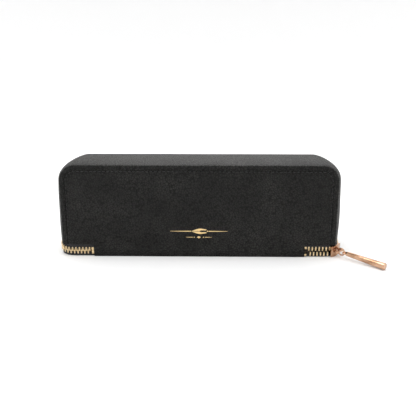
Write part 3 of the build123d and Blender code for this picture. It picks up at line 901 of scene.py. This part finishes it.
pen_bed.modifiers.remove(swelling)
bpy.context.scene.frame_set(1)
for vert, start, end in zip(pen_bed.data.vertices, before, after):
    move = end - start
    vert.co = start + move * min(1.0, SWELL_LIMIT / max(move.length, 1e-9))
for vert in pen_bed.data.vertices:
    x, y, z = vert.co
    seam_line = math.exp(-(((abs(y) - LANE_PITCH / 2) / CHANNEL_WIDTH) ** 2))
    up = max(0.0, (z - pad_middle.z) / pad_half.z)
    stitch = 0.75 + 0.25 * math.cos(2 * math.pi * x / STITCH_DIMPLES)
    z -= PAD_PULL * seam_line * up * stitch * min(1.0, (pad_half.x - abs(x)) / CHANNEL_FADE)
    vert.co = (
        min(pad_high.x, max(pad_low.x, x)), min(pad_high.y, max(pad_low.y, y)),
        min(pad_high.z, max(pad_low.z + 0.02 * mm, z)),
    )
soft = pen_bed.modifiers.new("soft", "SUBSURF")
soft.levels = 1
soft.render_levels = 1
pen_bed.data.shade_smooth()
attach(pen_bed, "tray")
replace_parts(pen_bed, "pen_pad")


# ---- Pen loops: two bands of black woven elastic, each sewn down between the pens so that it
# stands up in three loops. Its cut edges are rounded, and its cords and picks cross in the weave.

elastic = Finish("elastic", {"Roughness": 0.8, "Specular IOR Level": 0.25, "Sheen Weight": 0.2})
cords = {"Vector": elastic.place, "Scale": 330.0}
cord_lines = elastic.node("TexWave", {"bands_direction": "X"}, cords, "Fac")
crossings = {"Vector": elastic.place, "Scale": 620.0}
picks = elastic.node("TexWave", {"bands_direction": "Y"}, crossings, "Fac")
knit = cord_lines * 0.6 + picks * 0.35
elastic.feed("Base Color", elastic.colours(knit, (0.008, 0.008, 0.008, 1), (0.055, 0.055, 0.057, 1)))
elastic.feed("Normal", elastic.bump(knit, 0.15 * mm))

for name in ("pen_loops_left", "pen_loops_right"):
    band = copy_of(name)
    round_edges(band, 0.2 * mm, 2)
    loops = new_piece(name.replace("pen_loops", "elastic"), band, elastic.material)
    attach(loops, "tray")
    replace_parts(loops, name)


# ---- Stage: a plain white sweep all round, a soft light overhead and one behind, and a sky that is
# brighter behind the case and above it. The camera stands in front and looks slightly down.

SKY_BRIGHT_SIDE = (0, 0.78, 0.62)
SKY_FROM, SKY_TO = -0.6, 0.5
SKY_DIM, SKY_BRIGHT = 0.58, 1.36
KEY_PLACE, KEY_AIM, KEY_SIZE, KEY_POWER = (-0.1, -0.1, 0.8), (0, 0, 0.03), 0.4, 1.9
RIM_PLACE, RIM_AIM, RIM_SIZE, RIM_POWER = (0.05, 0.95, 0.72), (0, 0, 0.05), 0.8, 1.8
LENS = 47.9
CAMERA_PLACE = (12.5 * mm, -413 * mm, 143 * mm)
CAMERA_DOWN = 15.2
CAMERA_TURN = 0.85
SWEEP_FLAT = 2.4
SWEEP_BEND = 1.4
SWEEP_TOP = 2.2

floor_mesh = bmesh.new()
bend = [math.pi / 2 * index / 8 for index in range(9)]
section = [(0, 0)]
section += [(SWEEP_FLAT + SWEEP_BEND * math.sin(turn), SWEEP_BEND * (1 - math.cos(turn))) for turn in bend]
section += [(SWEEP_FLAT + SWEEP_BEND, SWEEP_TOP)]
sweep_verts = [floor_mesh.verts.new((radius, 0, height)) for radius, height in section]
sweep_edges = [floor_mesh.edges.new(pair) for pair in zip(sweep_verts, sweep_verts[1:])]
bmesh.ops.spin(
    floor_mesh, geom=sweep_verts + sweep_edges, cent=(0, 0, 0), axis=(0, 0, 1), dvec=(0, 0, 0),
    angle=2 * math.pi, steps=64, use_merge=True,
)
bmesh.ops.remove_doubles(floor_mesh, verts=floor_mesh.verts[:], dist=0.01 * mm)
bmesh.ops.recalc_face_normals(floor_mesh, faces=floor_mesh.faces[:])
if max(floor_mesh.faces, key=lambda face: face.calc_area()).normal.z < 0:
    bmesh.ops.reverse_faces(floor_mesh, faces=floor_mesh.faces[:])
paper = Finish("white_sweep", {"Base Color": (0.95, 0.95, 0.95, 1), "Roughness": 0.6})
floor = new_piece("floor", floor_mesh, paper.material)

world = bpy.data.worlds.new("studio")
bpy.context.scene.world = world
sky = Shading(world, "Background")
sky.shader.inputs["Color"].default_value = (1, 1, 1, 1)
direction = sky.node("TexCoord", output="Generated")
facing = sky.node(
    "VectorMath", {"operation": "DOT_PRODUCT"}, {0: direction, 1: SKY_BRIGHT_SIDE}, "Value",
)
strength = sky.node(
    "MapRange", {"interpolation_type": "SMOOTHSTEP"},
    {"Value": facing, "From Min": SKY_FROM, "From Max": SKY_TO, "To Min": SKY_DIM, "To Max": SKY_BRIGHT},
)
sky.feed("Strength", strength)


def soft_light(name, place, aim, size, power):
    """A square soft box that points at a spot."""
    light = bpy.data.lights.new(name, "AREA")
    light.size = size
    light.energy = power
    lamp = bpy.data.objects.new(name, light)
    lamp.location = place
    lamp.rotation_euler = (Vector(aim) - Vector(place)).to_track_quat("-Z", "Y").to_euler()
    bpy.context.scene.collection.objects.link(lamp)


soft_light("key", KEY_PLACE, KEY_AIM, KEY_SIZE, KEY_POWER)
soft_light("rim", RIM_PLACE, RIM_AIM, RIM_SIZE, RIM_POWER)

lens = bpy.data.cameras.new("camera")
lens.lens = LENS
lens.sensor_width = 36
camera = bpy.data.objects.new("camera", lens)
camera.location = CAMERA_PLACE
camera.rotation_euler = (math.radians(90 - CAMERA_DOWN), 0, math.radians(CAMERA_TURN))
bpy.context.scene.collection.objects.link(camera)
bpy.context.scene.camera = camera
bpy.context.scene.view_settings.view_transform = "Standard"
